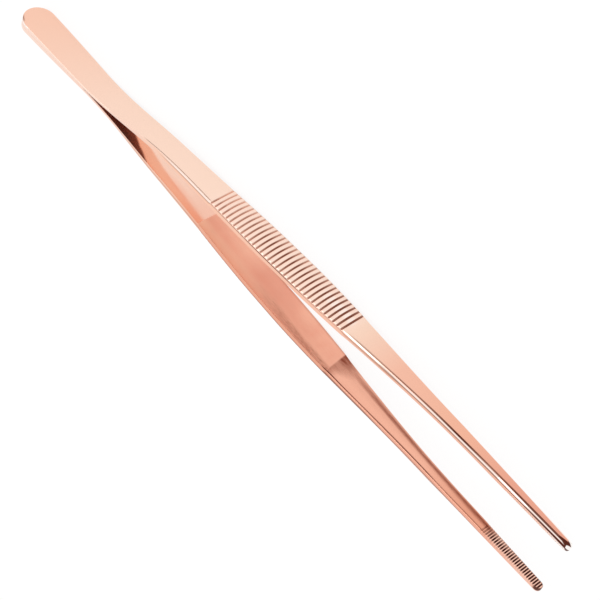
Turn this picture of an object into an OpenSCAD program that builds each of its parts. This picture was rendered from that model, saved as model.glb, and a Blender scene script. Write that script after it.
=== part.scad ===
// Long spring tongs: two mirrored blades welded face to face at the heel.
// +X runs from the heel to the tips, +Y from the lower to the upper blade, +Z up.
// The tongs lie on their side on z = 0, and x = 0 is half way along them.

/* [Overall] */
// Length from the end of the heel to the tips
length = 300; // [285:1:340]
// Clear gap between the two tips at rest
tip_gap = 26; // [20:0.5:34]

/* [Heel] */
// Width of the heel
heel_w = 13.8; // [12.5:0.1:15]
// Thickness of one blade at the heel
heel_t = 1.7; // [1.3:0.05:2.5]
// Length over which the two blades lie together
heel_len = 42; // [34:0.5:46]
// Distance from the end of the heel to where it starts to narrow
heel_taper_x = 10; // [10:1:32]
// Thickness of the weld between the two blades
weld_t = 0.2; // [0.1:0.05:0.4]
// How far the weld stays inside the edges of the heel
weld_inset = 0.05; // [0:0.05:1.5]

/* [Spring] */
// Thickness of one blade where it bends
spring_t = 1; // [0.8:0.05:1.5]
// Distance from the end of the heel to the line about which a blade bends
spring_x = 52; // [50:0.5:58]
// Clearance round the bending joint
joint_clearance = 0.05; // [0.02:0.01:0.1]
// Distance from the end of the heel to the waist
waist_x = 87; // [76:1:96]
// Width of the waist
waist_w = 10.6; // [9:0.1:12.4]
// Gap between the two blades at the waist
waist_gap = 9; // [6:0.1:11]

/* [Grip] */
// Distance from the end of the heel to the first groove
grip_x = 115; // [106:1:122]
// Distance from the end of the heel to where the grip reaches its full width
grip_full_x = 147; // [123:1:150]
// Distance from the end of the heel to where the grip starts to narrow
grip_taper_x = 158; // [152:1:175]
// Width of the grip
grip_w = 13.8; // [12.5:0.1:15]
// Thickness of one blade at the grip
grip_t = 2.6; // [2:0.05:3.5]
// Gap between the two blades at the last groove
grip_gap = 21.4; // [16:0.2:24]
// How far a blade bows outward over the grip
grip_bow = 0.3; // [0:0.05:0.6]
// Number of grooves across each grip
groove_count = 34; // [20:1:36]
// Distance from one groove to the next
groove_pitch = 2.16; // [1.6:0.02:2.3]
// Radius of a groove
groove_r = 0.5; // [0.4:0.05:0.7]
// Depth of a groove
groove_depth = 0.35; // [0.2:0.05:0.4]

/* [Legs] */
// Distance from the end of the heel to the neck, where the grip has narrowed to a leg
neck_x = 242; // [225:1:255]
// Width of a leg at the neck
neck_w = 5.7; // [4.8:0.1:7.5]
// Thickness of a leg at the neck
leg_t = 3; // [2.3:0.1:3.5]
// Width of the bevel along the outer edges of the grip
edge_bevel = 0.45; // [0.2:0.05:0.6]

/* [Jaws] */
// Length of a jaw, the straight stretch at the tip
jaw_len = 20; // [14:1:40]
// Width of a tip
tip_w = 3.6; // [3:0.1:4.6]
// Thickness of a tip
tip_t = 2.6; // [1.8:0.1:3]
// Width of the outer face at the end of a tip
tip_ridge_w = 1.4; // [0.8:0.1:1.8]
// Number of teeth cut across each jaw
tooth_count = 28; // [15:1:29]
// Distance from one tooth to the next
tooth_pitch = 1.06; // [0.8:0.02:1.1]
// Depth of the cut between two teeth
tooth_depth = 0.35; // [0.2:0.05:0.5]

/* [Hidden] */

$fn = 48;
rose_gold = "#e8b196";
weld_colour = "#b07a62";

// Longest step between two points of a curved outline, and the turn between two points of a round end
step = 4;
round_step = 10;
// A size past every edge of a blade, and how far a cut starts outside a face
reach = length;
overcut = 0.05;
// Share of the tooth pitch that a cut takes up
tooth_share = 0.8;

// How much steeper a leg leaves the grip than the straight line to its jaw
leg_lead = 1.68;

grip_end_x = grip_x + (groove_count - 1)*groove_pitch;
grip_thick_x = (waist_x + grip_x)/2;
jaw_x = length - jaw_len;
grip_slope = (grip_gap - waist_gap)/2/(grip_end_x - waist_x);
leg_slope = leg_lead*(tip_gap - grip_gap)/2/(jaw_x - grip_end_x);
leg_taper = (tip_w - neck_w)/(length - tip_w/2 - neck_x);
tip_bevel = (tip_w - tip_ridge_w)/2;

// A number held between 0 and 1
function share(u) = min(1, max(0, u));

// From a to b along a straight line as x goes from x0 to x1
function ramp(x, x0, x1, a, b) = a + (b - a)*share((x - x0)/(x1 - x0));

// From a to b along a curve that is level at both ends
function ease(x, x0, x1, a, b) = let (u = share((x - x0)/(x1 - x0))) a + (b - a)*u*u*(3 - 2*u);

// From a to b along a curve that leaves x0 with slope m0 and reaches x1 with slope m1
function sweep(x, x0, x1, a, b, m0, m1) =
    let (span = x1 - x0, u = share((x - x0)/span))
    a + (b - a)*u*u*(3 - 2*u) + m0*span*u*(1 - u)*(1 - u) - m1*span*u*u*(1 - u);

// Width of a blade
function blade_w(x) =
    x < waist_x ? ease(x, heel_taper_x, waist_x, heel_w, waist_w)
    : x < grip_taper_x ? ease(x, waist_x, grip_full_x, waist_w, grip_w)
    : x < neck_x ? sweep(x, grip_taper_x, neck_x, grip_w, neck_w, 0, leg_taper)
    : ramp(x, neck_x, length - tip_w/2, neck_w, tip_w);

// Thickness of a blade
function blade_t(x) =
    x < spring_x ? ramp(x, heel_w/2, heel_len, heel_t, spring_t)
    : x < grip_end_x ? ease(x, spring_x, grip_thick_x, spring_t, grip_t)
    : x < neck_x ? ease(x, grip_end_x, neck_x, grip_t, leg_t)
    : ramp(x, neck_x, length, leg_t, tip_t);

// How far a blade lies outside the straight line along its grip
function bow(x) = let (u = share((x - grip_x)/(grip_end_x - grip_x))) 4*grip_bow*u*(1 - u);

// Distance of a blade's inner face from the middle plane between the blades
function inner_y(x) =
    weld_t/2 + (x < waist_x ? sweep(x, heel_len, waist_x, 0, waist_gap/2, 0, grip_slope)
    : x < grip_end_x ? ramp(x, waist_x, grip_end_x, waist_gap/2, grip_gap/2) + bow(x)
    : sweep(x, grip_end_x, jaw_x, grip_gap/2, tip_gap/2, leg_slope, 0));

function outer_y(x) = inner_y(x) + blade_t(x);

// Width of the bevel along each outer edge, which grows from the end of the grip to the tip
function bevel(x) =
    x < grip_x ? ease(x, spring_x, grip_thick_x, 0, edge_bevel)
    : ramp(x, grip_end_x, length, edge_bevel, tip_bevel);

// Points along a blade from x0 to x1
function stations(x0, x1) =
    let (count = ceil((x1 - x0)/step))
    [for (i = [0 : count]) x0 + (x1 - x0)*i/count];

// Points of a list from last to first
function reversed(list) = [for (i = [len(list) - 1 : -1 : 0]) list[i]];

// A closed outline that is the same on both sides of its middle line
function both_sides(edge) = concat(edge, [for (p = reversed(edge)) [p[0], -p[1]]]);

// One edge of the heel's plan, with the quarter round at its end
function heel_edge(x1, inset) =
    let (r = heel_w/2 - inset)
    concat([for (a = [180 : -round_step : 100]) [heel_w/2 + r*cos(a), r*sin(a)]],
           [for (x = stations(heel_w/2, x1)) [x, blade_w(x)/2 - inset]]);

// One edge of an arm's plan, with the quarter round at the tip
function arm_edge(x0) =
    let (r = tip_w/2)
    concat([for (x = stations(x0, length - r)) [x, blade_w(x)/2]],
           [for (a = [80 : -round_step : 0]) [length - r + r*cos(a), r*sin(a)]]);

// Side view of a blade from x0 to x1, as wide as the widest blade
module side_view(x0, x1) {
    xs = stations(x0, x1);
    outer = [for (x = xs) [x, outer_y(x)]];
    inner = [for (x = reversed(xs)) [x, inner_y(x)]];
    linear_extrude(height = reach, center = true)
        polygon(concat(outer, inner));
}

// Plan of a blade, as thick as needed
module plan_view(edge) {
    rotate([90, 0, 0])
        linear_extrude(height = reach, center = true)
            polygon(both_sides(edge));
}

// Everything inside the bevel on one outer edge: side is 1 for the upper edge, -1 for the lower
module inside_bevel(x0, x1, side) {
    crest = [for (x = stations(x0, x1)) [x, (outer_y(x) + blade_w(x)/2 - bevel(x))*cos(45)]];
    rotate([side*45, 0, 0])
        linear_extrude(height = 2*reach, center = true)
            polygon(concat(crest, [[x1, -reach], [x0, -reach]]));
}

// Grooves across the outer face of the grip
module grooves() {
    for (i = [0 : groove_count - 1]) {
        x = grip_x + i*groove_pitch;
        translate([x, outer_y(x) + groove_r - groove_depth, 0])
            cylinder(r = groove_r, h = 2*grip_w, center = true);
    }
}

// Cuts between the teeth on the inner face of the jaw
module tooth_cuts() {
    half = tooth_share*tooth_pitch/2;
    for (i = [1 : tooth_count]) {
        x = length - i*tooth_pitch;
        translate([x, inner_y(x), 0])
            linear_extrude(height = 2*neck_w, center = true)
                polygon([[-half, -overcut], [half, -overcut], [0, tooth_depth]]);
    }
}

// A round bar along the line about which a blade bends
module spring_bar(r, bar_len) {
    translate([spring_x, inner_y(spring_x) + spring_t/2, 0])
        cylinder(r = r, h = bar_len, center = true);
}

// Heel end of the upper blade, hollowed to take the round of the arm
module blade_heel() {
    difference() {
        intersection() {
            side_view(0, spring_x);
            plan_view(heel_edge(spring_x, 0));
        }
        spring_bar(spring_t/2 + joint_clearance, reach);
    }
}

// Arm of the upper blade: spring, grip, leg and jaw
module blade_arm() {
    difference() {
        intersection() {
            side_view(spring_x, length);
            plan_view(arm_edge(spring_x));
            inside_bevel(spring_x, length, 1);
            inside_bevel(spring_x, length, -1);
        }
        grooves();
        tooth_cuts();
    }
    spring_bar(spring_t/2, blade_w(spring_x));
}

// Lays the tongs on their side, half way along their length
module laid_down() {
    translate([-length/2, 0, max(heel_w, grip_w)/2]) children();
}

module upper_blade_heel() {
    color(rose_gold) laid_down() blade_heel();
}

module upper_blade_arm() {
    color(rose_gold) laid_down() blade_arm();
}

module lower_blade_heel() {
    color(rose_gold) laid_down() mirror([0, 1, 0]) blade_heel();
}

module lower_blade_arm() {
    color(rose_gold) laid_down() mirror([0, 1, 0]) blade_arm();
}

// Weld between the two heels, a little inside their edges
module heel_weld() {
    color(weld_colour) laid_down()
        rotate([90, 0, 0])
            linear_extrude(height = weld_t, center = true)
                polygon(both_sides(heel_edge(heel_len - weld_inset, weld_inset)));
}

upper_blade_heel();
upper_blade_arm();
lower_blade_heel();
lower_blade_arm();
heel_weld();
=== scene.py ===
"""Looks of the long spring tongs: two polished rose-gold blades, welded face to face at the heel."""

import math
from functools import partial

import bpy
from mathutils import Matrix, Vector


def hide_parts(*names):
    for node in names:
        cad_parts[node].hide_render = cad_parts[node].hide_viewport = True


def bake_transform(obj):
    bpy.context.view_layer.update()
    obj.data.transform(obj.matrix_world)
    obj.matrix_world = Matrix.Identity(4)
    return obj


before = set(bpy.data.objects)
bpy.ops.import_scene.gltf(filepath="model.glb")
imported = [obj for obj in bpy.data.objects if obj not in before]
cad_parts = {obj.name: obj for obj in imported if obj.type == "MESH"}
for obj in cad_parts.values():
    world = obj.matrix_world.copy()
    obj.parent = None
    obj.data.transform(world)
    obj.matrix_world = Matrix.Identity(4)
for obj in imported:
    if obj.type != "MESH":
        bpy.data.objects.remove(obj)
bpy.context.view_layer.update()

MM = 0.001

# Lengths of one blade in millimetres. Each that ends in Start is measured along it from the end of the heel
BLADE_LENGTHS = {
    "Length": 300.0,
    "Tip Gap": 26.0,
    "Weld Thickness": 0.2,
    "Heel Width": 13.8,
    "Heel Thickness": 1.7,
    "Heel Length": 42.0,
    "Heel Taper Start": 10.0,
    "Heel Bevel": 0.06,
    "Heel Inner Round": 0.01,
    "Spring Start": 52.0,
    "Spring Thickness": 1.0,
    "Waist Start": 87.0,
    "Waist Width": 10.6,
    "Waist Gap": 9.0,
    "Grip Start": 115.0,
    "Grip Full Width Start": 147.0,
    "Grip Taper Start": 158.0,
    "Grip Width": 13.8,
    "Grip Thickness": 2.6,
    "Grip Gap": 21.4,
    "Grip Bow": 0.3,
    "Grip Crown": 0.75,
    "Grip Crown Lead": 4.5,
    "Groove Pitch": 2.16,
    "Groove Width": 1.0,
    "Groove Depth": 0.35,
    "Neck Start": 242.0,
    "Neck Width": 5.7,
    "Leg Thickness": 3.0,
    "Edge Bevel": 0.3,
    "Grip Bevel": 0.38,
    "Leg Bevel": 0.58,
    "Neck Bevel": 0.42,
    "Bevel Drop": 1.1,
    "Grip Bevel Drop": 0.6,
    "Tip Bevel Drop": 0.6,
    "Leg Inner Round": 0.4,
    "Leg Inner Crown": 0.25,
    "Jaw Length": 20.0,
    "Tip Width": 3.6,
    "Tip Thickness": 2.6,
    "Tip Ridge Width": 1.4,
    "Tooth Pitch": 1.06,
    "Tooth Depth": 0.35,
}
BLADE_COUNTS = {"Groove Count": 34, "Tooth Count": 28}
BLADE_PLACING = ("Side", "Middle Height")
# How much steeper a leg leaves the grip than the straight line to its jaw
LEG_LEAD = 1.68
# Share of the tooth pitch that a notch takes up
TOOTH_SHARE = 0.8
# Where the painted shade on the flank beside a groove fades in and out, as shares of the groove pitch from
# the groove's middle
GROOVE_FLANK = (-0.22, 0.0, 0.05, 0.45)

# Rings of points along a blade, counted for each stretch of it
HEEL_ROUND_RINGS = 24
PLAIN_RINGS = 80
RINGS_PER_GROOVE = 14
LEG_RINGS = 60
RINGS_PER_TOOTH = 8
NOSE_RINGS = 16
# Points closer together than this are joined where the sheet of points meets itself, in millimetres
JOINING_GAP = 0.002

# Section of a blade: radii of the bevel's two edges as shares of the bevel, and steps round each edge
SHOULDER_ROUND = 0.45
CREST_ROUND = 0.8
INNER_STEPS = 5
BEVEL_STEPS = 4
# Gap from a rounded edge to the point that holds the flat beside it, as a share of the radius
HOLDING_GAP = 0.05
# Columns of points across the two faces, as shares of half the width
OUTER_COLUMNS = (0.94, 0.85, 0.75, 0.45, 0.2)
INNER_COLUMNS = (0.9, 0.5)
# How much the points beside a rounded edge belong to the painted dark reflection, a brown line, along it
CREST_MARK = {0.94: 0.8, 0.85: 0.7}
RIM_MARK = {0.9: 0.8}
CREST_BEVEL_MARK = 0.6
SHOULDER_BEVEL_MARK = 0.7
SHOULDER_WALL_MARK = 0.9
# How much of a tooth's notch is lost round the inner rim
RIM_NOTCH_LOSS = 0.75


class Field:
    """One value in a node tree. Arithmetic on it adds the Math node that works out the result."""

    def __init__(self, tree, socket):
        self.tree = tree
        self.socket = socket

    def __add__(self, other):
        return math_node(self.tree, "ADD", self, other)

    def __radd__(self, other):
        return math_node(self.tree, "ADD", other, self)

    def __sub__(self, other):
        return math_node(self.tree, "SUBTRACT", self, other)

    def __rsub__(self, other):
        return math_node(self.tree, "SUBTRACT", other, self)

    def __mul__(self, other):
        return math_node(self.tree, "MULTIPLY", self, other)

    def __rmul__(self, other):
        return math_node(self.tree, "MULTIPLY", other, self)

    def __truediv__(self, other):
        return math_node(self.tree, "DIVIDE", self, other)

    def __abs__(self):
        return math_node(self.tree, "ABSOLUTE", self)


def feed(tree, socket, value):
    """Joins a field to a socket, or sets a plain value on it."""
    if isinstance(value, Field):
        tree.links.new(value.socket, socket)
    elif isinstance(value, bpy.types.NodeSocket):
        tree.links.new(value, socket)
    else:
        socket.default_value = value


def add_node(tree, kind, inputs=None, **settings):
    """A node with its settings made and its inputs, given by name, joined or set."""
    node = tree.nodes.new(kind)
    for name, value in settings.items():
        setattr(node, name, value)
    for name, value in (inputs or {}).items():
        feed(tree, node.inputs[name], value)
    return node


def math_node(tree, operation, *values):
    node = tree.nodes.new("ShaderNodeMath")
    node.operation = operation
    for socket, value in zip(node.inputs, values):
        feed(tree, socket, value)
    return Field(tree, node.outputs[0])


def map_range(x, x0, x1, a, b, interpolation):
    node = x.tree.nodes.new("ShaderNodeMapRange")
    node.interpolation_type = interpolation
    for socket, value in zip(node.inputs, (x, x0, x1, a, b)):
        feed(x.tree, socket, value)
    return Field(x.tree, node.outputs[0])


def ramp(x, x0, x1, a, b):
    """From a to b along a straight line as x goes from x0 to x1, and level outside."""
    return map_range(x, x0, x1, a, b, "LINEAR")


def ease(x, x0, x1, a, b):
    """From a to b along a curve that is level at both ends."""
    return map_range(x, x0, x1, a, b, "SMOOTHSTEP")


def rise(x, x0, x1):
    """From 0 to 1 along a curve that is level at both ends."""
    return ease(x, x0, x1, 0.0, 1.0)


def fall(x, x0, x1):
    """From 1 to 0 along a curve that is level at both ends."""
    return ease(x, x0, x1, 1.0, 0.0)


def window(x, rise_start, rise_stop, fall_start, fall_stop):
    """1 from rise_stop to fall_start, and eased to 0 on both sides."""
    return rise(x, rise_start, rise_stop) - rise(x, fall_start, fall_stop)


def eased_through(x, stops):
    """A value that eases from stop to stop. Each stop is a place on x and the value there."""
    value = stops[0][1]
    for (x0, a), (x1, b) in zip(stops, stops[1:]):
        if a != b:
            value = value + ease(x, x0, x1, 0.0, b - a)
    return value


def sweep(x, x0, x1, a, b, slope0=0.0, slope1=0.0):
    """From a to b along a curve that leaves x0 with slope0 and reaches x1 with slope1."""
    u = ramp(x, x0, x1, 0.0, 1.0)
    rest = 1.0 - u
    span = x1 - x0
    level = a + (b - a) * u * u * (3.0 - 2.0 * u)
    return level + slope0 * span * u * rest * rest - slope1 * span * u * u * rest


def strongest(first, *others):
    """The largest of a field and other values."""
    result = first
    for other in others:
        result = math_node(first.tree, "MAXIMUM", result, other)
    return result


def weakest(first, other):
    """The smaller of a field and another value."""
    return math_node(first.tree, "MINIMUM", first, other)


# The section of a blade, with marks that tell the finish what each point of it is part of

def rounded_corner(come, leave, radius, steps):
    """Points of a rounded corner about (0, 0), and one point on each side to hold the flats flat."""
    come, leave = Vector(come).normalized(), Vector(leave).normalized()
    turn = come.angle(leave)
    across = (leave - come * come.dot(leave)).normalized()
    tangent = radius * math.tan(turn / 2)
    start = -come * tangent
    points = [start - come * HOLDING_GAP * radius]
    for step in range(steps + 1):
        angle = turn * step / steps
        points.append(start + radius * (come * math.sin(angle) + across * (1 - math.cos(angle))))
    points.append(leave * (tangent + HOLDING_GAP * radius))
    return points


def on_round(step, corner):
    """1 on the round itself, 0 on the two points that hold the flats beside it."""
    return 1.0 if 0 < step < len(corner) - 1 else 0.0


def edge_rows():
    """Rows of points round one edge of a blade.

    Each row gives how far it lies in from the edge and how high it lies above the inner face, as sums
    of shares of the inner round, the width and the drop of the bevel, and the thickness. It also says
    how much of a tooth's notch and of a rib's groove reaches it. Its marks say what it is part of:
    inner or outer face, bevel, or one of the three rounded edges, which are the inner rim, the
    shoulder below the bevel and the crest above it.
    """
    rows = []
    inner = rounded_corner((-1, 0), (0, 1), 1.0, INNER_STEPS)
    for step, point in enumerate(inner):
        share = step / (len(inner) - 1)
        rows.append({"inner_inset": point.x, "inner_rise": point.y, "cut": 1 - RIM_NOTCH_LOSS * share,
                     "inner": 1 - share, "rim": 1.0 if share < 0.5 else 0.0})
    shoulder = rounded_corner((0, 1), (1, 1), SHOULDER_ROUND, BEVEL_STEPS)
    for step, point in enumerate(shoulder):
        rows.append({"bevel_inset": point.x, "bevel_rise": point.y - 1.0, "full": 1.0,
                     "shoulder": on_round(step, shoulder)})
    rows[-len(shoulder)]["shoulder"] = SHOULDER_WALL_MARK
    rows[-1].update(bevel=1.0, shoulder=SHOULDER_BEVEL_MARK)
    crest = rounded_corner((1, 1), (1, 0), CREST_ROUND, BEVEL_STEPS)
    for step, point in enumerate(crest):
        share = step / (len(crest) - 1)
        rows.append({"bevel_inset": point.x + 1.0, "bevel_rise": point.y, "full": 1.0, "rib": 1.0,
                     "crest": CREST_BEVEL_MARK + (1 - CREST_BEVEL_MARK) * share,
                     "outer": on_round(step, crest)})
    rows[-len(crest)]["bevel"] = 1.0
    rows[-1]["outer"] = 1.0
    for row in rows:
        row["spread"] = 1.0
    return rows


def section_rows():
    """The closed section of a blade, one dictionary for each point, in order round it."""
    near_edge = edge_rows()
    far_edge = [dict(row, spread=-1.0) for row in reversed(near_edge)]
    outer_spreads = (*OUTER_COLUMNS, 0.0, *(-share for share in reversed(OUTER_COLUMNS)))
    inner_spreads = (*(-share for share in INNER_COLUMNS), 0.0, *reversed(INNER_COLUMNS))
    outer_face = []
    for spread in outer_spreads:
        outer_face.append(dict(near_edge[-1], spread=spread, crest=CREST_MARK.get(abs(spread), 0.0)))
    inner_face = []
    for spread in inner_spreads:
        inner_face.append(dict(near_edge[0], spread=spread, rim=RIM_MARK.get(abs(spread), 0.0)))
    return near_edge + outer_face + far_edge + inner_face


SECTION_SHAPE = ("spread", "inner_inset", "inner_rise", "bevel_inset", "bevel_rise", "full", "cut", "rib")
SECTION_MARKS = ("inner", "outer", "bevel", "rim", "shoulder", "crest")
SECTION_VALUES = SECTION_SHAPE + SECTION_MARKS
# What the finish reads at each point: four distances in millimetres, then shares
BLADE_MARKS = ("along", "place", "aside", "depth", "across", "upper", "groove", "flank", "notch",
               *SECTION_MARKS)


def section_object(name):
    """A loose row of points that carries the section's values to the blade's node tree."""
    rows = section_rows()
    mesh = bpy.data.meshes.new(name)
    mesh.from_pydata([(0, row["spread"], index) for index, row in enumerate(rows)], [], [])
    for value in SECTION_VALUES:
        attribute = mesh.attributes.new(value, "FLOAT", "POINT")
        attribute.data.foreach_set("value", [row.get(value, 0.0) for row in rows])
    made = bpy.data.objects.new(name, mesh)
    bpy.context.scene.collection.objects.link(made)
    return made


# The node tree that sweeps the section along a blade and cuts its ribs and teeth

def blade_inputs(tree):
    """Makes the tree's sockets, and gives its input node and a field for each size."""
    sockets = tree.interface
    sockets.new_socket("Geometry", in_out="INPUT", socket_type="NodeSocketGeometry")
    for name in (*BLADE_LENGTHS, *BLADE_PLACING):
        sockets.new_socket(name, in_out="INPUT", socket_type="NodeSocketFloat")
    for name in BLADE_COUNTS:
        sockets.new_socket(name, in_out="INPUT", socket_type="NodeSocketInt")
    sockets.new_socket("Material", in_out="INPUT", socket_type="NodeSocketMaterial")
    sockets.new_socket("Geometry", in_out="OUTPUT", socket_type="NodeSocketGeometry")
    source = tree.nodes.new("NodeGroupInput")
    size = {}
    for name in (*BLADE_LENGTHS, *BLADE_PLACING, *BLADE_COUNTS):
        size[name] = Field(tree, source.outputs[name])
    return source, size


def add_worked_out_sizes(size):
    """Adds the sizes and places that follow from the tree's inputs."""
    size["Heel Radius"] = size["Heel Width"] / 2.0
    size["Tip Radius"] = size["Tip Width"] / 2.0
    size["Tip Bevel"] = (size["Tip Width"] - size["Tip Ridge Width"]) / 2.0
    size["Thick Start"] = (size["Waist Start"] + size["Grip Start"]) / 2.0
    size["Grooves Length"] = size["Groove Count"] * size["Groove Pitch"]
    size["Grooves Start"] = size["Grip Start"] - size["Groove Pitch"] / 2.0
    size["Grooves Stop"] = size["Grooves Start"] + size["Grooves Length"]
    size["Grip Stop"] = size["Grip Start"] + (size["Groove Count"] - 1.0) * size["Groove Pitch"]
    size["Leg Start"] = size["Grip Stop"] + 2.0 * size["Groove Pitch"]
    size["Jaw Start"] = size["Length"] - size["Jaw Length"]
    size["Teeth Start"] = size["Length"] - (size["Tooth Count"] + 0.5) * size["Tooth Pitch"]
    size["Nose Start"] = size["Length"] - size["Tip Radius"]
    size["Heel Inner Face"] = size["Weld Thickness"] / 2.0
    for stretch in ("Waist", "Grip", "Tip"):
        size[stretch + " Inner Face"] = size["Heel Inner Face"] + size[stretch + " Gap"] / 2.0


def last_rings(size):
    """The number of the last ring on each stretch of a blade."""
    last = {"heel": HEEL_ROUND_RINGS}
    last["plain"] = last["heel"] + PLAIN_RINGS
    last["grooves"] = last["plain"] + size["Groove Count"] * RINGS_PER_GROOVE
    last["leg"] = last["grooves"] + LEG_RINGS
    last["teeth"] = last["leg"] + size["Tooth Count"] * RINGS_PER_TOOTH
    last["nose"] = last["teeth"] + NOSE_RINGS
    return last


def section_sheet(tree, section, ring_count):
    """A sheet of points: one row for each ring along the blade, one column for each point of the section.

    Gives the sheet, the number of each point's ring, and the section's values at each point.
    """
    point_count = len(section_rows())
    columns = point_count + 1
    sheet = add_node(tree, "GeometryNodeMeshGrid", {"Vertices X": ring_count, "Vertices Y": columns})
    index = Field(tree, tree.nodes.new("GeometryNodeInputIndex").outputs[0])
    ring = math_node(tree, "FLOOR", (index + 0.5) / columns)
    column = index - ring * columns
    point = math_node(tree, "FLOOR", math_node(tree, "MODULO", column + 0.25, point_count))
    row = {}
    for value in SECTION_VALUES:
        named = add_node(tree, "GeometryNodeInputNamedAttribute", {"Name": value}, data_type="FLOAT")
        sampled = add_node(tree, "GeometryNodeSampleIndex",
                           {"Geometry": section, "Value": named.outputs["Attribute"], "Index": point},
                           data_type="FLOAT", domain="POINT")
        row[value] = Field(tree, sampled.outputs["Value"])
    return sheet.outputs["Mesh"], ring, row


def ring_distance(size, ring, last):
    """Distance of each ring from the end of the heel: even steps on a stretch, even turns on a round end."""
    quarter = math.pi / 2
    heel_turn = ramp(ring, 0, last["heel"], 0.0, quarter)
    nose_turn = ramp(ring, last["teeth"], last["nose"], 0.0, quarter)
    along = size["Heel Radius"] * (1.0 - math_node(ring.tree, "COSINE", heel_turn))
    along = along + ramp(ring, last["heel"], last["plain"], 0.0, size["Grooves Start"] - size["Heel Radius"])
    along = along + ramp(ring, last["plain"], last["grooves"], 0.0, size["Grooves Length"])
    along = along + ramp(ring, last["grooves"], last["leg"], 0.0, size["Teeth Start"] - size["Grooves Stop"])
    along = along + ramp(ring, last["leg"], last["teeth"], 0.0, size["Nose Start"] - size["Teeth Start"])
    return along + size["Tip Radius"] * math_node(ring.tree, "SINE", nose_turn)


def through(size, along, first, *steps):
    """A size along the blade that starts as the first one named and goes over to another in each step.

    A step is its curve, the names of the places where it starts and stops, and the size after it.
    """
    value = size[first]
    before = first
    for curve, start, stop, after in steps:
        value = value + curve(along, size[start], size[stop], 0.0, size[after] - size[before])
        before = after
    return value


def blade_width(size, along):
    leg_taper = (size["Tip Width"] - size["Neck Width"]) / (size["Nose Start"] - size["Neck Start"])
    return through(
        size, along, "Heel Width",
        (ease, "Heel Taper Start", "Waist Start", "Waist Width"),
        (ease, "Waist Start", "Grip Full Width Start", "Grip Width"),
        (partial(sweep, slope1=leg_taper), "Grip Taper Start", "Neck Start", "Neck Width"),
        (ramp, "Neck Start", "Nose Start", "Tip Width"),
    )


def blade_thickness(size, along):
    return through(
        size, along, "Heel Thickness",
        (ramp, "Heel Radius", "Heel Length", "Spring Thickness"),
        (ease, "Spring Start", "Thick Start", "Grip Thickness"),
        (ease, "Grip Stop", "Neck Start", "Leg Thickness"),
        (ramp, "Neck Start", "Length", "Tip Thickness"),
    )


def bevel_width(size, along):
    """How far the bevel comes in over the outer face."""
    return through(
        size, along, "Heel Bevel",
        (ease, "Spring Start", "Thick Start", "Edge Bevel"),
        (ease, "Grip Start", "Grip Full Width Start", "Grip Bevel"),
        (ease, "Grip Stop", "Leg Start", "Leg Bevel"),
        (ramp, "Leg Start", "Neck Start", "Neck Bevel"),
        (ramp, "Neck Start", "Length", "Tip Bevel"),
    )


def bevel_drop(size, along):
    """How far the bevel comes down the side of the blade."""
    return through(
        size, along, "Heel Bevel",
        (ease, "Spring Start", "Thick Start", "Bevel Drop"),
        (ease, "Grooves Start", "Grip Start", "Grip Bevel Drop"),
        (ease, "Grip Stop", "Neck Start", "Bevel Drop"),
        (ease, "Neck Start", "Nose Start", "Tip Bevel Drop"),
    )


def inner_face_place(size, along):
    """Distance of the blade's inner face from the middle plane between the blades."""
    grip_rise = size["Grip Inner Face"] - size["Waist Inner Face"]
    grip_slope = grip_rise / (size["Grip Stop"] - size["Waist Start"])
    leg_rise = size["Tip Inner Face"] - size["Grip Inner Face"]
    leg_slope = LEG_LEAD * leg_rise / (size["Jaw Start"] - size["Grip Stop"])
    straight = through(
        size, along, "Heel Inner Face",
        (partial(sweep, slope1=grip_slope), "Heel Length", "Waist Start", "Waist Inner Face"),
        (ramp, "Waist Start", "Grip Stop", "Grip Inner Face"),
        (partial(sweep, slope0=leg_slope), "Grip Stop", "Jaw Start", "Tip Inner Face"),
    )
    grip_share = ramp(along, size["Grip Start"], size["Grip Stop"], 0.0, 1.0)
    return straight + 4.0 * size["Grip Bow"] * grip_share * (1.0 - grip_share)


def grip_crown(size, along):
    """How much higher the middle of the ribs stands than their ends."""
    lead, third = size["Grip Crown Lead"], size["Groove Pitch"] / 3.0
    start, stop = size["Grip Start"], size["Grip Stop"]
    return size["Grip Crown"] * window(along, start - third, start + lead, stop - lead, stop + third)


def leg_inner_crown(size, along):
    """How much higher the middle of the leg's inner face stands than its edges."""
    start, stop = size["Grip Stop"], size["Teeth Start"]
    full_start = start + 6.0 * size["Groove Pitch"]
    full_stop = stop - size["Jaw Length"]
    return size["Leg Inner Crown"] * window(along, start, full_start, full_stop, stop)


def nearest_whole(x, low, high):
    """The whole number nearest to x, held between low and high."""
    return weakest(strongest(math_node(x.tree, "ROUND", x), low), high)


def rib_grooves(size, along):
    """How deep each ring lies in a groove across the grip, and how much it is part of a groove's flank."""
    number = (along - size["Grip Start"]) / size["Groove Pitch"]
    phase = number - nearest_whole(number, 0.0, size["Groove Count"] - 1.0)
    off_middle = phase * size["Groove Pitch"] / (size["Groove Width"] / 2.0)
    return strongest(1.0 - off_middle * off_middle, 0.0), window(phase, *GROOVE_FLANK)


def tooth_notches(size, place):
    """How deep each point lies in a notch between two teeth of the jaw."""
    number = (size["Length"] - place) / size["Tooth Pitch"]
    off_middle = abs(number - nearest_whole(number, 1.0, size["Tooth Count"])) / (TOOTH_SHARE / 2)
    return strongest(1.0 - off_middle, 0.0)


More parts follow.
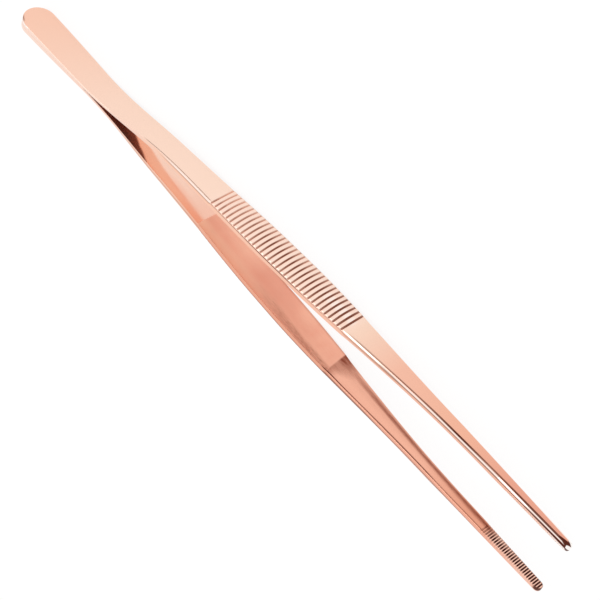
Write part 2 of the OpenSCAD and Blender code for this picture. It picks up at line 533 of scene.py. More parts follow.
def finish_blade(tree, source, size, points, marks):
    """Stores the marks on the placed points, closes the sheet to a blade and gives it its material."""
    for name in BLADE_MARKS:
        stored = add_node(tree, "GeometryNodeStoreNamedAttribute",
                          {"Geometry": points, "Name": name, "Value": marks[name]},
                          data_type="FLOAT", domain="POINT")
        points = stored.outputs["Geometry"]
    closed = add_node(tree, "GeometryNodeMergeByDistance", {"Geometry": points, "Distance": JOINING_GAP * MM})
    mirrored = math_node(tree, "LESS_THAN", size["Side"], 0.0)
    turned = add_node(tree, "GeometryNodeFlipFaces",
                      {"Mesh": closed.outputs["Geometry"], "Selection": mirrored})
    smooth = add_node(tree, "GeometryNodeSetShadeSmooth", {"Geometry": turned.outputs["Mesh"]})
    real = add_node(tree, "GeometryNodeRealizeInstances", {"Geometry": smooth.outputs["Geometry"]})
    finished = add_node(tree, "GeometryNodeSetMaterial",
                        {"Geometry": real.outputs["Geometry"], "Material": source.outputs["Material"]})
    target = tree.nodes.new("NodeGroupOutput")
    tree.links.new(finished.outputs["Geometry"], target.inputs["Geometry"])


def blade_tree():
    """Places each point of the sheet on the blade, and marks it for the finish."""
    tree = bpy.data.node_groups.new("tong_blade", "GeometryNodeTree")
    source, size = blade_inputs(tree)
    add_worked_out_sizes(size)
    last = last_rings(size)
    sheet, ring, row = section_sheet(tree, source.outputs["Geometry"], last["nose"] + 1)
    along = ring_distance(size, ring, last)
    thickness = blade_thickness(size, along)
    bevel = bevel_width(size, along)
    inner_round = through(size, along, "Heel Inner Round",
                          (ease, "Grip Stop", "Leg Start", "Leg Inner Round"))

    # The two round ends turn the rows of the edge round with them
    heel_end = ramp(along, 0.0, size["Heel Radius"], 1.0, 0.0)
    inward = heel_end - ramp(along, size["Nose Start"], size["Length"], 0.0, 1.0)
    sideways = math_node(tree, "SQRT", 1.0 - inward * inward)
    inset = row["inner_inset"] * inner_round + row["bevel_inset"] * bevel
    place = along + inset * inward
    aside = row["spread"] * (blade_width(size, along) / 2.0 - inset) * sideways

    # Height of each point above the inner face
    groove, flank = rib_grooves(size, along)
    groove = groove * row["rib"]
    notch = tooth_notches(size, place) * row["cut"]
    off_middle = row["spread"] * row["spread"]
    height = row["inner_rise"] * inner_round + row["bevel_rise"] * bevel_drop(size, along)
    height = height + row["full"] * thickness + grip_crown(size, along) * (1.0 - off_middle) * row["outer"]
    height = height + leg_inner_crown(size, along) * off_middle * (1.0 - row["full"])
    height = height - groove * size["Groove Depth"] + notch * size["Tooth Depth"]
    position = add_node(tree, "ShaderNodeCombineXYZ", {
        "X": place - size["Length"] / 2.0,
        "Y": (inner_face_place(size, along) + height) * size["Side"],
        "Z": aside + size["Middle Height"],
    })
    placed = add_node(tree, "GeometryNodeSetPosition",
                      {"Geometry": sheet, "Position": position.outputs["Vector"]})

    marks = {name: row[name] for name in SECTION_MARKS}
    marks.update(groove=groove, flank=flank * row["rib"], notch=notch, across=row["spread"])
    marks["upper"] = ramp(size["Side"], -1.0, 1.0, 0.0, 1.0)
    distances = {"along": along, "place": place, "aside": aside, "depth": thickness - height}
    for name, distance in distances.items():
        marks[name] = distance / MM
    finish_blade(tree, source, size, placed.outputs["Geometry"], marks)
    return tree


def make_blade(name, tree, side, material):
    """One blade from heel to tip as a plain mesh, on the side of the middle plane that side gives."""
    section = section_object(name + "_section")
    modifier = section.modifiers.new("blade", "NODES")
    modifier.node_group = tree
    values = {label: length * MM for label, length in BLADE_LENGTHS.items()}
    values.update(BLADE_COUNTS)
    values["Side"] = float(side)
    values["Middle Height"] = BLADE_LENGTHS["Heel Width"] / 2 * MM
    values["Material"] = material
    for item in tree.interface.items_tree:
        if item.in_out == "INPUT" and item.name in values:
            modifier[item.identifier] = values[item.name]
    depsgraph = bpy.context.evaluated_depsgraph_get()
    mesh = bpy.data.meshes.new_from_object(section.evaluated_get(depsgraph), depsgraph=depsgraph)
    bpy.data.objects.remove(section)
    mesh.name = name
    blade = bpy.data.objects.new(name, mesh)
    bpy.context.scene.collection.objects.link(blade)
    return blade


# Finishes, with painted light and shade

# Colours along a blade: distance from the end of the heel in millimetres, then the colour
# Tones of the outer face; their changes along the blade stand in for reflection, painted in
OUTER_TONES = (
    (4, (0.930, 0.575, 0.437, 1)),
    (55, (0.950, 0.680, 0.550, 1)),
    (112, (0.960, 0.705, 0.575, 1)),
    (118, (0.985, 0.735, 0.615, 1)),
    (160, (0.985, 0.760, 0.640, 1)),
    (184, (0.980, 0.745, 0.630, 1)),
    (190, (0.940, 0.670, 0.530, 1)),
    (212, (0.900, 0.505, 0.375, 1)),
    (245, (0.890, 0.465, 0.325, 1)),
    (270, (0.820, 0.380, 0.270, 1)),
)
# Tones of the sides: one metal, painted lighter on the upper blade and darker on the lower as painted
# reflection
UPPER_SIDE_TONES = (
    (4, (0.960, 0.740, 0.640, 1)),
    (66, (0.960, 0.700, 0.590, 1)),
    (90, (0.950, 0.580, 0.430, 1)),
    (187, (0.940, 0.540, 0.400, 1)),
    (215, (0.880, 0.480, 0.350, 1)),
    (270, (0.880, 0.480, 0.350, 1)),
    (288, (0.950, 0.600, 0.480, 1)),
    (297, (1.000, 0.880, 0.820, 1)),
)
LOWER_SIDE_TONES = (
    (4, (0.960, 0.740, 0.640, 1)),
    (60, (0.940, 0.660, 0.550, 1)),
    (80, (0.910, 0.550, 0.420, 1)),
    (100, (0.900, 0.530, 0.390, 1)),
    (120, (0.840, 0.400, 0.275, 1)),
    (187, (0.820, 0.380, 0.260, 1)),
    (200, (0.860, 0.420, 0.300, 1)),
    (270, (0.860, 0.420, 0.300, 1)),
    (290, (0.920, 0.540, 0.420, 1)),
)
LEG_INNER_TONES = (
    (187, (0.930, 0.480, 0.345, 1)),
    (238, (0.920, 0.470, 0.335, 1)),
    (262, (0.800, 0.350, 0.230, 1)),
)
# Painted shade between the blades, kept pale at the start of the gap, where the blades' own shade already
# falls
WEDGE_SHADE_TONES = (
    (44, (1.000, 0.800, 0.700, 1)),
    (51, (0.800, 0.340, 0.220, 1)),
    (60, (0.500, 0.190, 0.120, 1)),
    (70, (0.240, 0.085, 0.055, 1)),
)
# Painted highlight on the ribs' tops near the end of the grip
RIB_HIGHLIGHT = (1.000, 0.910, 0.840, 1)
# Painted white highlight on the upper blade's bevel
BEVEL_HIGHLIGHT_WHITE = (1.000, 0.840, 0.760, 1)
GLINT_WHITE = (1.000, 0.950, 0.910, 1)
# Painted dark reflection on the heel's bevel
HEEL_BEVEL = (0.800, 0.500, 0.400, 1)
POLISHED_INNER = (0.970, 0.660, 0.530, 1)
# Painted shade of the polished inner face
POLISHED_END = (0.930, 0.500, 0.370, 1)
# The satin's deeper salmon partly stands in for the other blade's reflection, painted in
SATIN_INNER = (0.970, 0.530, 0.380, 1)
SATIN_SHADE = (0.880, 0.400, 0.285, 1)
# Painted light on the satin towards its near edge
SATIN_NEAR = (1.000, 0.660, 0.490, 1)
TOOTH_TOP = (0.950, 0.580, 0.455, 1)
# Painted shade on the flanks of the grooves, then in the grooves
FLANK_SHADE_PINK = (0.900, 0.490, 0.360, 1)
GROOVE_SHADE_BROWN = (0.240, 0.075, 0.045, 1)
# Painted shade in the notches between the teeth
NOTCH_SHADE_BROWN = (0.070, 0.014, 0.008, 1)
# Painted shade past the step and on the leg's far side; also the darker strands on the satin
SHADE_AND_STRAND_BROWN = (0.250, 0.050, 0.024, 1)
# Painted dark reflections along the near edges and round the noses
DARK_REFLECTION_BROWN = (0.100, 0.022, 0.012, 1)
WELD_PINK = (0.900, 0.600, 0.480, 1)
WELD_PALE = (0.950, 0.700, 0.600, 1)

# How dark the painted dark reflection, a brown line, is along each rounded edge: distance from the end of the
# heel, then the strength
CREST_LINE = (
    (1.5, 0.0), (2.2, 0.6), (3.4, 0.6), (4.2, 0.0), (75.5, 0.0), (78, 0.6), (113.5, 0.6), (114.5, 0.0),
    (188, 0.0), (193, 0.4), (205, 0.5), (216, 0.72), (232, 0.8), (244, 1.0), (249, 0.95), (260, 0.7),
    (274, 0.88),
)
UPPER_SHOULDER_LINE = (
    (84, 0.0), (90, 0.25), (118, 0.35), (130, 0.5), (146, 0.85), (158, 0.85), (168, 0.3), (186, 0.25),
    (205, 0.4), (216, 0.55), (245, 0.55), (260, 0.68), (275, 0.8), (284, 0.9), (290, 1.0),
)
LOWER_SHOULDER_LINE = (
    (60, 0.0), (75, 0.35), (125, 0.35), (165, 0.5), (195, 0.65), (250, 0.65), (266, 0.35), (275, 0.0),
)
RIM_LINE = (
    (185.5, 0.0), (187, 0.85), (200, 0.62), (208, 0.58), (217, 0.66), (241, 0.72), (246, 0.42), (270, 0.5),
    (273, 0.0),
)
# How wide that line is: distance from the end of the heel, then the edge's mark at which the line starts.
# The lower the mark, the wider the line
CREST_LINE_START = (
    (4, 0.74), (6, 0.82), (186, 0.82), (200, 0.74), (222, 0.74), (242, 0.56), (258, 0.56), (276, 0.49),
)
SHOULDER_LINE_START = (
    (186, 0.76), (189, 0.36), (206, 0.36), (222, 0.76), (272, 0.76), (288, 0.60), (291, 0.60), (297, 0.52),
)
RIM_LINE_START = ((190, 0.88), (235, 0.76))
BEVEL_LINE_BLUR = 0.05
RIM_LINE_BLUR = 0.06

# Places along a blade where its finish changes, in millimetres from the end of the heel
SATIN_START = 112.5
SATIN_STOP = 187.2
TEETH_START = 269.5
NOSE_START = BLADE_LENGTHS["Length"] - BLADE_LENGTHS["Tip Width"] / 2
# Stretches along a blade over which a finish fades in or out
SATIN_FADE = (SATIN_START, SATIN_START + 0.6)
LEG_FADE = (SATIN_STOP, SATIN_STOP + 0.8)
TEETH_FADE = (TEETH_START, TEETH_START + 7)
HEEL_BEVEL_FADE = (60, 75)
WHITE_BEVEL_FADE = (83, 95)
POLISHED_SHADE_FADE = (85, 98)
POLISHED_END_FADE = (92, SATIN_START)
STRAND_FADE = (140, 172)
SATIN_RIM_FADE = (135, 150)
LOWER_WALL_FADE = (296.8, 298.0)
FAR_GLINT_FADE = (297.0, 297.8)
# Stretches along a blade where a finish fades in, then fades out again
HEEL_GLINT = (3.4, 4.4, 7.0, 8.5)
RIBBED_GRIP = (114.5, 115.5, 186, 190)
DARKER_SATIN_PATCH = (130, 147, 153, 168)
LIT_RIBS = (168, 175, 186.5, 188)
# Changes along a blade: where each starts and stops, then the value before it and after it
NEAR_SATIN_LIGHT = (120, 165, 0.85, 0.25)
FAR_SHADE_EDGE = (215, 262, -0.15, 0.40)
STRAND_PLACE = (150, SATIN_STOP, 0.57, 0.90)
GROOVE_STRENGTH = (113, 142, 0.3, 1.0)
GROOVE_END_LOSS = (165, 178, 0.4, 0.2)
GROOVE_FAR_LOSS = (155, 176, 0.27, 0.0)
GROOVE_FULL_DEPTH = (160, 182, 0.8, 0.45)
NOTCH_STRENGTH = (TEETH_START, TEETH_START + 6, 0.35, 1.0)
NOTCH_FAR_STRENGTH = (276, 292, 0.55, 0.95)
NOTCH_NEAR_STRENGTH = (286, 296, 0.4, 0.9)
# How dark the painted shade on the far side of the leg is: distance from the end of the heel, then the
# strength
FAR_SHADE = ((193, 0.45), (215, 0.76), (258, 0.76), (270, 0.912))
# Stretches across a blade where a finish fades, from -1 at its far edge to 1 at its near edge
NEAR_HALF = (-0.1, 0.1)
SHADED_MIDDLE = (-0.3, 0.25, 0.4, 0.7)
NEAR_SATIN = (0.0, 0.6)
DARKER_PATCH_SIDE = (-0.1, 0.6)
SATIN_RIM = (-0.95, -0.84)
DARK_GROOVE_SIDE = (-0.2, 0.7)
PALE_GROOVE_SIDE = (-0.7, 0.0)
# Changes across a blade: where each starts and stops, then the value before it and after it
STEP_LENGTH = (-0.4, 0.6, 18, 6)
FAR_EDGE_SHADE = (-1.0, -0.7, 0.3, 1.0)
LEG_SHADE = (-0.3, 0.6, 0.12, 0.0)
# The painted shade on the leg's far side is full from here to the far edge
FAR_SHADE_FULL = -0.58

# The painted shade between the blades ends here, farther out on the near side, with a ragged edge
WEDGE_END = 67.2
WEDGE_SLANT = 13.3
WEDGE_RAGGED = 3.0
WEDGE_BLUR = 1.5
# The step from the satin to the leg slants, and on the far side its painted shade has a tail
STEP_SLANT = 0.6
STEP_STRENGTH = 0.55
STEP_TAIL = 11
STEP_TAIL_STRENGTH = 0.35
# Darker strands on the satin: shares of half the width from their middle at which they start and stop
# to fade, then the strength before and after. The darker far rim of the satin is a strand too
STRAND_STRENGTH = (0.08, 0.42, 0.34, 0.0)
STRAND_RAGGED = 0.15
SATIN_RIM_STRENGTH = 0.24
# The painted dark reflection on the cap of a nose starts here on its near side, later on its far side and on
# its bevel
CAP_START = 293.8
CAP_FAR_DELAY = 1.9
CAP_BEVEL_DELAY = 4.5
CAP_LAST_START = 297.7
CAP_BLUR = (-0.4, 0.6)
NOSE_STRENGTH = 0.95
# Changes down the wall of a nose: where each starts and stops, in millimetres below the top of the blade,
# then the angle before it and after it, in radians round the nose
STREAK_TURN = (0.7, 2.2, 0.0, 1.17)
STREAK_HALF = (0.8, 2.2, 0.18, 0.40)
STREAK_BLUR = 0.14
LOWER_WALL_DEPTH = (0.7, 1.2)
# The light beside the end of a nose: how its edge slants, and where it fades in, in millimetres aside
NEAR_GLINT_SLANT = 0.72
NEAR_GLINT = (1.05, 1.30)
FAR_GLINT_SLANT = 0.35
FAR_GLINT = (0.6, 0.8)

POLISHED_ROUGHNESS = 0.07
DULL_ROUGHNESS = 0.3
BRUSHED_DEPTH = 0.02 * MM


def new_group(name, inputs, outputs):
    """A shader node group with its sockets, and its input and output nodes."""
    group = bpy.data.node_groups.new(name, "ShaderNodeTree")
    for label, kind, value in inputs:
        socket = group.interface.new_socket(label, in_out="INPUT", socket_type=kind)
        socket.default_value = value
    for label, kind in outputs:
        group.interface.new_socket(label, in_out="OUTPUT", socket_type=kind)
    source = group.nodes.new("NodeGroupInput")
    target = group.nodes.new("NodeGroupOutput")
    return group, source, target


def brushing_group():
    """Fine lines left by a brush. They run along the axis whose Stretch is smallest."""
    group, source, target = new_group(
        "brushed_lines",
        [("Stretch", "NodeSocketVector", (1, 1, 1)), ("Fineness", "NodeSocketFloat", 1000.0)],
        [("Lines", "NodeSocketFloat")],
    )
    place = group.nodes.new("ShaderNodeTexCoord")
    stretched = add_node(group, "ShaderNodeVectorMath",
                         {0: place.outputs["Object"], 1: source.outputs["Stretch"]}, operation="MULTIPLY")
    noise = add_node(group, "ShaderNodeTexNoise", {
        "Vector": stretched.outputs[0], "Scale": source.outputs["Fineness"], "Detail": 4.0, "Roughness": 0.6})
    group.links.new(noise.outputs["Fac"], target.inputs["Lines"])
    return group


def smudge_group():
    """Soft patches where handling has dulled a polish."""
    group, source, target = new_group(
        "handling_smudges",
        [("Fineness", "NodeSocketFloat", 60.0)],
        [("Smudges", "NodeSocketFloat")],
    )
    place = group.nodes.new("ShaderNodeTexCoord")
    noise = add_node(group, "ShaderNodeTexNoise", {
        "Vector": place.outputs["Object"], "Scale": source.outputs["Fineness"], "Detail": 3.0,
        "Distortion": 0.6})
    patches = add_node(group, "ShaderNodeMapRange", {
        "Value": noise.outputs["Fac"], "From Min": 0.35, "From Max": 0.7})
    group.links.new(patches.outputs["Result"], target.inputs["Smudges"])
    return group


# Sockets of a Mix node that mixes colours. Their names are shared with those for numbers and vectors
MIX_SHARE = 0
MIX_FIRST = 6
MIX_SECOND = 7
MIX_RESULT = 2


def mix_colour(tree, share, first, second):
    node = add_node(tree, "ShaderNodeMix", data_type="RGBA")
    feed(tree, node.inputs[MIX_SHARE], share)
    feed(tree, node.inputs[MIX_FIRST], first)
    feed(tree, node.inputs[MIX_SECOND], second)
    return node.outputs[MIX_RESULT]


def attribute_field(tree, name):
    node = add_node(tree, "ShaderNodeAttribute", attribute_name=name)
    return Field(tree, node.outputs["Fac"])


def group_field(tree, group, output, **inputs):
    node = tree.nodes.new("ShaderNodeGroup")
    node.node_tree = group
    for name, value in inputs.items():
        feed(tree, node.inputs[name], value)
    return Field(tree, node.outputs[output])


def tone_ramp(tree, along, tones):
    """A colour, or a strength from 0 to 1, that changes along the blade."""
    node = tree.nodes.new("ShaderNodeValToRGB")
    stops = node.color_ramp.elements
    while len(stops) < len(tones):
        stops.new(1.0)
    for stop, (place, tone) in zip(stops, tones):
        stop.position = place / BLADE_LENGTHS["Length"]
        stop.color = tone if isinstance(tone, tuple) else (tone, tone, tone, 1)
    feed(tree, node.inputs["Fac"], along / BLADE_LENGTHS["Length"])
    return Field(tree, node.outputs["Color"])


def add_stretches(mark):
    """Marks the satin, the leg and the teeth on the inner face, and the near half of the blade."""
    along, across = mark["along"], mark["across"]
    mark["satin"] = rise(along, *SATIN_FADE)
    mark["leg"] = rise(along - STEP_SLANT * across, *LEG_FADE)
    mark["teeth"] = rise(along, *TEETH_FADE)
    mark["near"] = rise(across, *NEAR_HALF)


def inner_metal(tree, mark, patches, streaks):
    """Colour of the inner face: polished, then satin in the grip, ground on the leg, toothed in the jaw.
    Painted shade lies on the polished part, painted light on the satin's near side.
    """
    along, across = mark["along"], mark["across"]
    # Painted shade on the polished face: across its middle, and growing towards the satin
    shaded = rise(along, *POLISHED_SHADE_FADE) * window(across, *SHADED_MIDDLE)
    shaded = 0.5 * strongest(shaded, rise(along, *POLISHED_END_FADE))
    polished = mix_colour(tree, shaded, POLISHED_INNER, POLISHED_END)
    # The satin's mottling is its own; its deeper salmon partly stands in for the other blade's reflection,
    # painted in
    mottling = 0.4 * patches + 0.7 * (streaks - 0.35)
    satin = mix_colour(tree, mottling, SATIN_INNER, SATIN_SHADE)
    # Painted light on the satin towards its near edge, fading along the grip
    near_light = rise(across, *NEAR_SATIN) * ease(along, *NEAR_SATIN_LIGHT)
    satin = mix_colour(tree, near_light, satin, SATIN_NEAR)
    # A darker patch on the satin, towards its far side
    darker_patch = 0.75 * window(along, *DARKER_SATIN_PATCH) * fall(across, *DARKER_PATCH_SIDE)
    satin = mix_colour(tree, darker_patch, satin, SATIN_SHADE)
    colour = mix_colour(tree, mark["satin"], polished, satin)
    colour = mix_colour(tree, mark["leg"], colour, tone_ramp(tree, along, LEG_INNER_TONES))
    return mix_colour(tree, mark["teeth"], colour, TOOTH_TOP)


def outer_metal(tree, mark):
    """Colour of the outer face, the sides and the bevels, which are white on the upper blade as a painted
    highlight. Their tones hold painted reflection.
    """
    along, across = mark["along"], mark["across"]
    lower_side = tone_ramp(tree, along, LOWER_SIDE_TONES)
    upper_side = tone_ramp(tree, along, UPPER_SIDE_TONES)
    # The sides are one metal, painted lighter on the upper blade and darker on the lower as painted
    # reflection
    side = mix_colour(tree, mark["upper"], lower_side, upper_side)
    # Painted highlight on the ribs' tops near the end of the grip
    rib_highlight = window(along, *LIT_RIBS) * ease(across * across, 0.02, 0.20, 0.6, 0.0)
    face = mix_colour(tree, rib_highlight, tone_ramp(tree, along, OUTER_TONES), RIB_HIGHLIGHT)
    colour = mix_colour(tree, mark["outer"], side, face)
    # Painted dark reflection on the heel's bevel, fading out along the spring
    colour = mix_colour(tree, mark["bevel"] * fall(along, *HEEL_BEVEL_FADE), colour, HEEL_BEVEL)
    # Painted white highlight on the upper blade's bevel, half as strong along the ribbed grip
    white = mark["upper"] * mark["bevel"] * rise(along, *WHITE_BEVEL_FADE)
    white = white * (1.0 - 0.5 * window(along, *RIBBED_GRIP))
    return mix_colour(tree, white, colour, BEVEL_HIGHLIGHT_WHITE)


def wedge_shade(mark, patches):
    """Painted shade between the blades, where they part from each other."""
    end = WEDGE_END + WEDGE_SLANT * mark["across"] + WEDGE_RAGGED * (patches - 0.5)
    return mark["inner"] * fall(mark["along"] - end, -WEDGE_BLUR, WEDGE_BLUR)


def leg_shade_and_strands(mark, patches, streaks):
    """Painted shade past the step from satin to leg and on the leg's far side, and darker strands on the
    satin.
    """
    along, across, leg = mark["along"], mark["across"], mark["leg"]
    far = fall(across, FAR_SHADE_FULL, ramp(along, *FAR_SHADE_EDGE))
    past_step = along - SATIN_STOP
    step = STEP_STRENGTH * fall(past_step / ramp(across, *STEP_LENGTH), 0.0, 1.0)
    step = step + STEP_TAIL_STRENGTH * far * fall(past_step, 0.0, STEP_TAIL)
    band = far * eased_through(along, FAR_SHADE) * ease(across, *FAR_EDGE_SHADE)
    band = strongest(band, ease(across, *LEG_SHADE)) * (1.0 - mark["teeth"])
    on_leg = leg * strongest(step, band) * (streaks + 0.5)
    off_strand = across - ramp(along, *STRAND_PLACE) - STRAND_RAGGED * (patches - 0.5)
    strand = ease(abs(off_strand), *STRAND_STRENGTH) * (2.6 * streaks - 0.3) * rise(along, *STRAND_FADE)
    far_rim = SATIN_RIM_STRENGTH * fall(across, *SATIN_RIM) * rise(along, *SATIN_RIM_FADE)
    on_satin = (1.0 - leg) * strongest(strand, far_rim)
    return mark["inner"] * strongest(on_leg, on_satin)


def groove_shade(mark):
    """Painted shade in the grooves, paler on the far side towards the heel and at both ends of a groove."""
    along, across = mark["along"], mark["across"]
    strength = strongest(ramp(along, *GROOVE_STRENGTH), 0.8 * rise(across, *DARK_GROOVE_SIDE))
    strength = strength * (1.0 - ramp(along, *GROOVE_END_LOSS) * across * across)
    far_loss = ramp(along, *GROOVE_FAR_LOSS) * fall(across, *PALE_GROOVE_SIDE)
    full_depth = ramp(along, *GROOVE_FULL_DEPTH)
    return rise(mark["groove"], 0.1, full_depth) * strength * (1.0 - far_loss)


def notch_shade(mark):
    """Painted shade in the notches between the teeth, paler at the back of the jaw and at both ends of a
    notch.
    """
    along, across = mark["along"], mark["across"]
    brown = rise(mark["notch"], 0.02, 0.35) * rise(mark["inner"], 0.1, 0.6) * ease(along, *NOTCH_STRENGTH)
    far_strength = ease(along, *NOTCH_FAR_STRENGTH)
    near_strength = ease(along, *NOTCH_NEAR_STRENGTH)
    return brown * ease(across, -1.0, 0.2, far_strength, 1.0) * ease(across, 0.75, 1.0, 1.0, near_strength)


def line_mask(edge_mark, start, blur):
    """1 where the mark of a rounded edge is past the start of its painted dark reflection, and 0 before it.
    """
    return rise(edge_mark - start, -blur, blur)


def edge_dark_reflections(tree, mark):
    """Painted dark reflections, as brown lines, along the near edges of both blades."""
    along, upper = mark["along"], mark["upper"]
    crest = line_mask(mark["crest"], eased_through(along, CREST_LINE_START), BEVEL_LINE_BLUR)
    crest = crest * tone_ramp(tree, along, CREST_LINE)
    upper_shoulder = upper * tone_ramp(tree, along, UPPER_SHOULDER_LINE)
    lower_shoulder = (1.0 - upper) * tone_ramp(tree, along, LOWER_SHOULDER_LINE)
    shoulder = line_mask(mark["shoulder"], eased_through(along, SHOULDER_LINE_START), BEVEL_LINE_BLUR)
    shoulder = shoulder * (upper_shoulder + lower_shoulder)
    rim = line_mask(mark["rim"], eased_through(along, RIM_LINE_START), RIM_LINE_BLUR)
    rim = rim * tone_ramp(tree, along, RIM_LINE)
    return mark["near"] * strongest(crest, shoulder, rim)


def past_streak(mark):
    """How far a point lies past the middle of the streak on the wall of a nose, in radians round it."""
    along = mark["along"]
    turn = math_node(along.tree, "ARCTAN2", along - NOSE_START, mark["aside"])
    return turn - ramp(mark["depth"], *STREAK_TURN)


def streak_half(mark):
    """Half the width of that streak, in radians."""
    return ramp(mark["depth"], *STREAK_HALF)


def nose_dark_reflection(mark):
    """Painted dark reflection on the cap of both noses, on the wall of the lower one, and in a streak down
    the upper one's.
    """
    along, upper = mark["along"], mark["upper"]
    on_bevel = (1.0 - mark["crest"]) * (1.0 - mark["outer"])
    cap_start = CAP_START + CAP_FAR_DELAY * (1.0 - mark["across"]) + CAP_BEVEL_DELAY * on_bevel
    cap_start = weakest(cap_start, CAP_LAST_START)
    cap = rise(along - cap_start, *CAP_BLUR) * strongest(mark["outer"], mark["bevel"])
    wall = rise(mark["depth"], *LOWER_WALL_DEPTH) * rise(along, *LOWER_WALL_FADE)
    wall = NOSE_STRENGTH * (1.0 - upper) * (1.0 - mark["outer"]) * fall(mark["inner"], 0.3, 0.9) * wall
    streak = fall(abs(past_streak(mark)) - streak_half(mark), 0.0, STREAK_BLUR)
    streak = NOSE_STRENGTH * upper * (1.0 - mark["inner"]) * (1.0 - mark["outer"]) * streak
    return strongest(cap, wall, streak)


def edge_glints(mark):
    """White light on both sides of the end of the upper blade's nose, and on the corner of its heel."""
    along, aside = mark["along"], mark["aside"]
    past_start = mark["place"] - NOSE_START
    near_end = rise(NEAR_GLINT_SLANT * past_start + aside, *NEAR_GLINT)
    near_end = near_end * rise(past_streak(mark) - streak_half(mark), -0.02, 0.12)
    far_end = rise(FAR_GLINT_SLANT * past_start - aside, *FAR_GLINT) * rise(along, *FAR_GLINT_FADE)
    corner = 0.8 * window(along, *HEEL_GLINT) * rise(mark["shoulder"], 0.45, 0.60) * mark["near"]
    return mark["upper"] * (1.0 - mark["inner"]) * strongest(near_end, far_end, corner)


def blade_metal(brushing, smudges):
    """Rose gold: polished outside, satin inside the grip, with painted shade, painted dark reflections and
    painted highlights.
    """
    material = bpy.data.materials.new("rose_gold_blade")
    material.use_nodes = True
    tree = material.node_tree
    shader = tree.nodes["Principled BSDF"]
    mark = {name: attribute_field(tree, name) for name in BLADE_MARKS}
    add_stretches(mark)
    lines = group_field(tree, brushing, "Lines", Stretch=(0.03, 1.0, 1.0), Fineness=2500.0)
    streaks = group_field(tree, brushing, "Lines", Stretch=(0.2, 1.0, 1.0), Fineness=1800.0)
    patches = group_field(tree, smudges, "Smudges", Fineness=70.0)
    wedge = wedge_shade(mark, patches)
    shade_and_strands = leg_shade_and_strands(mark, patches, streaks)
    in_groove = groove_shade(mark)
    in_notch = notch_shade(mark)
    line = strongest(edge_dark_reflections(tree, mark), nose_dark_reflection(mark))

    inside = inner_metal(tree, mark, patches, streaks)
    colour = mix_colour(tree, mark["inner"], outer_metal(tree, mark), inside)
    # Over the metal's own colour: painted shade between the blades, past the step, on the leg and in grooves
    # and notches; darker satin strands; painted dark reflections; painted highlights
    wedge_tones = tone_ramp(tree, mark["along"], WEDGE_SHADE_TONES)
    colour = mix_colour(tree, wedge * (0.8 + 0.4 * streaks), colour, wedge_tones)
    colour = mix_colour(tree, shade_and_strands, colour, SHADE_AND_STRAND_BROWN)
    colour = mix_colour(tree, mark["flank"], colour, FLANK_SHADE_PINK)
    colour = mix_colour(tree, in_groove, colour, GROOVE_SHADE_BROWN)
    colour = mix_colour(tree, in_notch, colour, NOTCH_SHADE_BROWN)
    colour = mix_colour(tree, line, colour, DARK_REFLECTION_BROWN)
    colour = mix_colour(tree, edge_glints(mark), colour, GLINT_WHITE)
    feed(tree, shader.inputs["Base Color"], colour)
    shader.inputs["Metallic"].default_value = 1.0

    dull = mark["inner"] * mark["satin"] * (1.0 - mark["leg"]) + wedge + in_groove + in_notch + shade_and_strands + line
    rough = POLISHED_ROUGHNESS + DULL_ROUGHNESS * dull + 0.03 * mark["inner"]
    feed(tree, shader.inputs["Roughness"], rough + 0.05 * patches + 0.04 * lines)
    bump = add_node(tree, "ShaderNodeBump", {"Strength": 0.12, "Distance": BRUSHED_DEPTH, "Height": lines})
    tree.links.new(bump.outputs["Normal"], shader.inputs["Normal"])
    return material


def weld_metal(brushing, smudges):
    """The weld between the blades, ground flush with their edges."""
    material = bpy.data.materials.new("rose_gold_weld")
    material.use_nodes = True
    tree = material.node_tree
    shader = tree.nodes["Principled BSDF"]
    lines = group_field(tree, brushing, "Lines", Stretch=(1.0, 1.0, 1.0), Fineness=2500.0)
    patches = group_field(tree, smudges, "Smudges", Fineness=300.0)
    feed(tree, shader.inputs["Base Color"], mix_colour(tree, patches, WELD_PINK, WELD_PALE))
    shader.inputs["Metallic"].default_value = 1.0
    feed(tree, shader.inputs["Roughness"], 0.12 + 0.1 * lines)
    return material


# Studio, with its sizes in metres

FLOOR_HALF = 6.0
FLOOR_DROP = -0.0001
FLOOR_GREY = (0.16, 0.16, 0.16, 1)
FLOOR_GLOW = 0.85
WHITE = (1, 1, 1, 1)


def pale_floor():
    """A floor that looks white to the camera and in reflections, and throws little light on the tongs."""
    material = bpy.data.materials.new("pale_floor")
    material.use_nodes = True
    tree = material.node_tree
    shader = tree.nodes["Principled BSDF"]
    shader.inputs["Base Color"].default_value = FLOOR_GREY
    shader.inputs["Roughness"].default_value = 1.0
    shader.inputs["Specular IOR Level"].default_value = 0.0
    shader.inputs["Emission Color"].default_value = WHITE
    path = tree.nodes.new("ShaderNodeLightPath")
    seen = Field(tree, path.outputs["Is Camera Ray"]) + Field(tree, path.outputs["Is Glossy Ray"])
    feed(tree, shader.inputs["Emission Strength"], FLOOR_GLOW * seen)
    mesh = bpy.data.meshes.new("floor")
    corners = [(x * FLOOR_HALF, y * FLOOR_HALF, FLOOR_DROP) for x, y in ((-1, -1), (1, -1), (1, 1), (-1, 1))]
    mesh.from_pydata(corners, [], [(0, 1, 2, 3)])
    mesh.materials.append(material)
    floor = bpy.data.objects.new("floor", mesh)
    bpy.context.scene.collection.objects.link(floor)


def pale_room():
    world = bpy.data.worlds.new("pale_room")
    bpy.context.scene.world = world
    world.use_nodes = True
    background = world.node_tree.nodes["Background"]
    background.inputs["Color"].default_value = WHITE
    background.inputs["Strength"].default_value = 1.0


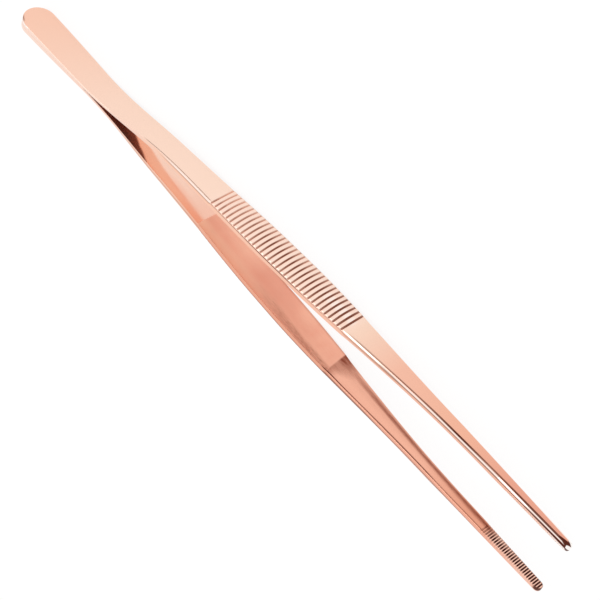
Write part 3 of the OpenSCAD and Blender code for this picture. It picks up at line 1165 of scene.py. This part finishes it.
def softbox(name, turn, elevation, distance, width, height, radiance):
    """A rectangular lamp that faces the tongs. Turn, from +Y towards +X, and elevation are in degrees."""
    light = bpy.data.lights.new(name, "AREA")
    light.shape = "RECTANGLE"
    light.size = width
    light.size_y = height
    light.energy = radiance * math.pi * width * height
    made = bpy.data.objects.new(name, light)
    turn, elevation = math.radians(turn), math.radians(elevation)
    level = math.cos(elevation)
    place = Vector((math.sin(turn) * level, math.cos(turn) * level, math.sin(elevation))) * distance
    made.location = place
    made.rotation_euler = place.to_track_quat("Z", "Y").to_euler()
    bpy.context.scene.collection.objects.link(made)


def photo_camera():
    """The camera of the photograph: rolled, looking down across the tongs from the upper blade's side."""
    target = Vector((11.888, -3.138, 4.812)) * MM
    distance = 818.37 * MM
    azimuth = math.radians(158.355)
    elevation = math.radians(35.113)
    roll = math.radians(-120.504)
    level = math.cos(elevation)
    back = Vector((math.sin(azimuth) * level, -math.cos(azimuth) * level, math.sin(elevation)))
    right = Vector((0, 0, 1)).cross(back).normalized()
    up = back.cross(right)
    rolled_right = right * math.cos(roll) + up * math.sin(roll)
    rolled_up = up * math.cos(roll) - right * math.sin(roll)
    turn = Matrix((rolled_right, rolled_up, back)).transposed().to_4x4()
    data = bpy.data.cameras.new("photo_camera")
    data.sensor_width = 36.0
    data.lens = 131.94
    data.clip_start = 0.01
    data.clip_end = 50.0
    camera = bpy.data.objects.new("photo_camera", data)
    camera.matrix_world = Matrix.Translation(target + back * distance) @ turn
    bpy.context.scene.collection.objects.link(camera)
    bpy.context.scene.camera = camera


brushing = brushing_group()
smudges = smudge_group()
rose_gold = blade_metal(brushing, smudges)
dull_gold = weld_metal(brushing, smudges)
tree = blade_tree()
for name, side in (("upper", 1), ("lower", -1)):
    blade = make_blade(name + "_blade", tree, side, rose_gold)
    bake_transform(blade)
    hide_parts(name + "_blade_heel", name + "_blade_arm")
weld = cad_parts["heel_weld"]
weld.data.materials.clear()
weld.data.materials.append(dull_gold)

pale_floor()
pale_room()
softbox("key", turn=-32, elevation=56, distance=2.5, width=1.6, height=1.0, radiance=1.4)
photo_camera()
bpy.context.scene.view_settings.view_transform = "Standard"
